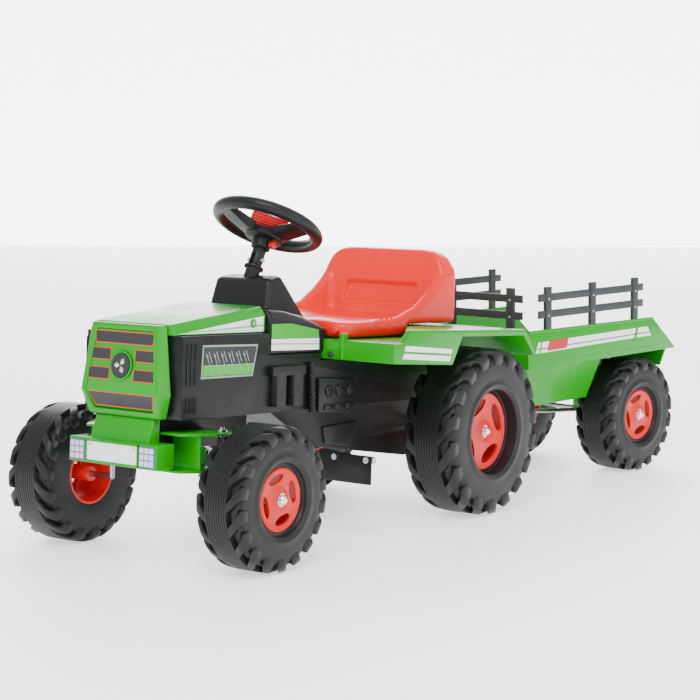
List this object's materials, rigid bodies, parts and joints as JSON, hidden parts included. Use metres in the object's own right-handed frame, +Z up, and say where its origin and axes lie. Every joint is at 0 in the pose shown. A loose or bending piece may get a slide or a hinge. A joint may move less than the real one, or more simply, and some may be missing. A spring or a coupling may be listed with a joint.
{
  "type": "ride-on toy tractor with trailer",
  "caption": "Child's ride-on toy farm tractor with steering wheel, seat and lugged wheels, towing a fenced two-wheeled trailer.",
  "frame": {"origin": "on the ground, midway between the rear tyres, under the rear axle", "axes": "+X forwards along the tractor, +Y to the left, +Z up"},
  "size_m": [1.4978, 0.5072, 0.5852],
  "materials": {
    "green_shell": "glossy moulded plastic",
    "black_shell": "satin moulded plastic",
    "tyre_black": "blow-moulded ribbed tyre",
    "red_rim": "glossy moulded plastic",
    "seat_red": "satin moulded plastic",
    "pad_red": "glossy moulded plastic",
    "fence_grey": "matte moulded plastic",
    "steel": "plain bright steel",
    "bright_cap": "domed bright caps",
    "plate_white": "white panel",
    "lamp_silver": "silver faceted panel",
    "orange_knob": "orange knob",
    "battery_case": "sealed battery case",
    "motor_steel": "plated motor can"
  },
  "bodies": {
    "tractor": {"engine_body_left": "black_shell", "engine_body_right": "black_shell", "hood": "green_shell", "nose_shell": "green_shell", "grille_panel": "green_shell", "grille_badge": "lamp_silver", "bumper": "green_shell", "headlights": "lamp_silver", "number_plate": "plate_white", "dash_console": "black_shell", "column_bush": "black_shell", "oil_filters": "black_shell", "engine_reliefs": "black_shell", "coolant_hoses": "black_shell", "fender_unit": "green_shell", "seat": "seat_red", "body_bolts": "bright_cap", "battery": "battery_case", "drive_motor": "motor_steel", "drive_gearbox": "black_shell", "rear_axle": "steel", "rear_axle_caps": "bright_cap", "foot_bar": "steel", "foot_plate_left": "black_shell", "front_axle_carrier": "green_shell", "hitch_bracket": "steel", "hitch_pin": "steel"},
    "steering": {"steering_column": "steel", "steering_wheel": "black_shell", "steering_pad": "pad_red", "steering_sleeve": "black_shell", "sleeve_bolt_heads": "bright_cap"},
    "horn": {"horn_button": "pad_red"},
    "direction_switch": {"direction_knob": "orange_knob"},
    "accelerator": {"accelerator_pedal": "black_shell"},
    "left_knuckle": {"knuckle_left": "steel", "knuckle_left_fasteners": "bright_cap"},
    "right_knuckle": {"knuckle_right": "steel", "knuckle_right_fasteners": "bright_cap"},
    "steering_link": {"tie_rod": "steel"},
    "trailer": {"trailer_tub": "green_shell", "fence_left": "fence_grey", "fence_right": "fence_grey", "fence_front": "fence_grey", "trailer_axle": "steel", "trailer_axle_caps": "bright_cap", "tub_mounts": "steel", "drawbar": "steel"},
    "front_left_wheel": {"front_left_tyre": "tyre_black", "front_left_rim": "red_rim"},
    "front_right_wheel": {"front_right_tyre": "tyre_black", "front_right_rim": "red_rim"},
    "rear_left_wheel": {"rear_left_tyre": "tyre_black", "rear_left_rim": "red_rim"},
    "rear_right_wheel": {"rear_right_tyre": "tyre_black", "rear_right_rim": "red_rim"},
    "trailer_left_wheel": {"trailer_left_tyre": "tyre_black", "trailer_left_rim": "red_rim"},
    "trailer_right_wheel": {"trailer_right_tyre": "tyre_black", "trailer_right_rim": "red_rim"}
  },
  "joints": [
    {"name": "steering_turn", "type": "hinge", "parent": "tractor", "child": "steering", "pos_m": [0.38907, 0, 0.45077], "axis": [-0.4695, 0, 0.8829], "range_deg": [-60, 60]},
    {"name": "horn_press", "type": "slide", "parent": "steering", "child": "horn", "axis": [0, -1, 0], "range_m": [0, 0.0025], "stiffness_N_per_m": 200},
    {"name": "direction_turn", "type": "hinge", "parent": "tractor", "child": "direction_switch", "pos_m": [0.3516, 0, 0.41037], "axis": [-0.8435, 0, 0.5371], "range_deg": [-30, 30]},
    {"name": "accelerator_press", "type": "hinge", "parent": "tractor", "child": "accelerator", "pos_m": [0.32513, 0, 0.139], "axis": [0, -1, 0], "range_deg": [0, 12], "stiffness_Nm_per_rad": 2},
    {"name": "left_kingpin", "type": "hinge", "parent": "tractor", "child": "left_knuckle", "pos_m": [0.61359, 0.118, 0.18215], "axis": [-0.0523, 0, 0.9986], "range_deg": [-30.1, 30.1]},
    {"name": "right_kingpin", "type": "hinge", "parent": "tractor", "child": "right_knuckle", "pos_m": [0.61359, -0.118, 0.18215], "axis": [-0.0523, 0, 0.9986], "range_deg": [-30.1, 30.1]},
    {"name": "link_slide", "type": "slide", "parent": "tractor", "child": "steering_link", "axis": [0, 1, 0], "range_m": [-0.0301, 0.0301]},
    {"name": "front_left_roll", "type": "hinge", "parent": "left_knuckle", "child": "front_left_wheel", "pos_m": [0.617, 0.206, 0.117], "axis": [0, 1, 0], "continuous": true},
    {"name": "rear_left_roll", "type": "hinge", "parent": "tractor", "child": "rear_left_wheel", "pos_m": [0, 0.201, 0.152], "axis": [0, 1, 0], "continuous": true},
    {"name": "front_right_roll", "type": "hinge", "parent": "right_knuckle", "child": "front_right_wheel", "pos_m": [0.617, -0.206, 0.117], "axis": [0, 1, 0], "continuous": true},
    {"name": "rear_right_roll", "type": "hinge", "parent": "tractor", "child": "rear_right_wheel", "pos_m": [0, -0.201, 0.152], "axis": [0, 1, 0], "continuous": true},
    {"name": "hitch_swing", "type": "hinge", "parent": "tractor", "child": "trailer", "pos_m": [-0.218, 0, 0.146], "axis": [0, 0, 1], "range_deg": [-15.5, 28.5]},
    {"name": "trailer_left_roll", "type": "hinge", "parent": "trailer", "child": "trailer_left_wheel", "pos_m": [-0.59768, 0.19222, 0.117], "axis": [0.1132, 0.9936, 0], "continuous": true},
    {"name": "trailer_right_roll", "type": "hinge", "parent": "trailer", "child": "trailer_right_wheel", "pos_m": [-0.63119, -0.10188, 0.117], "axis": [0.1132, 0.9936, 0], "continuous": true}
  ],
  "couplings": [
    {"joint": "left_kingpin", "follows": "steering_turn", "ratio": 0.5},
    {"joint": "right_kingpin", "follows": "steering_turn", "ratio": 0.5},
    {"joint": "link_slide", "follows": "steering_turn", "m_per_rad": -0.02865}
  ]
}
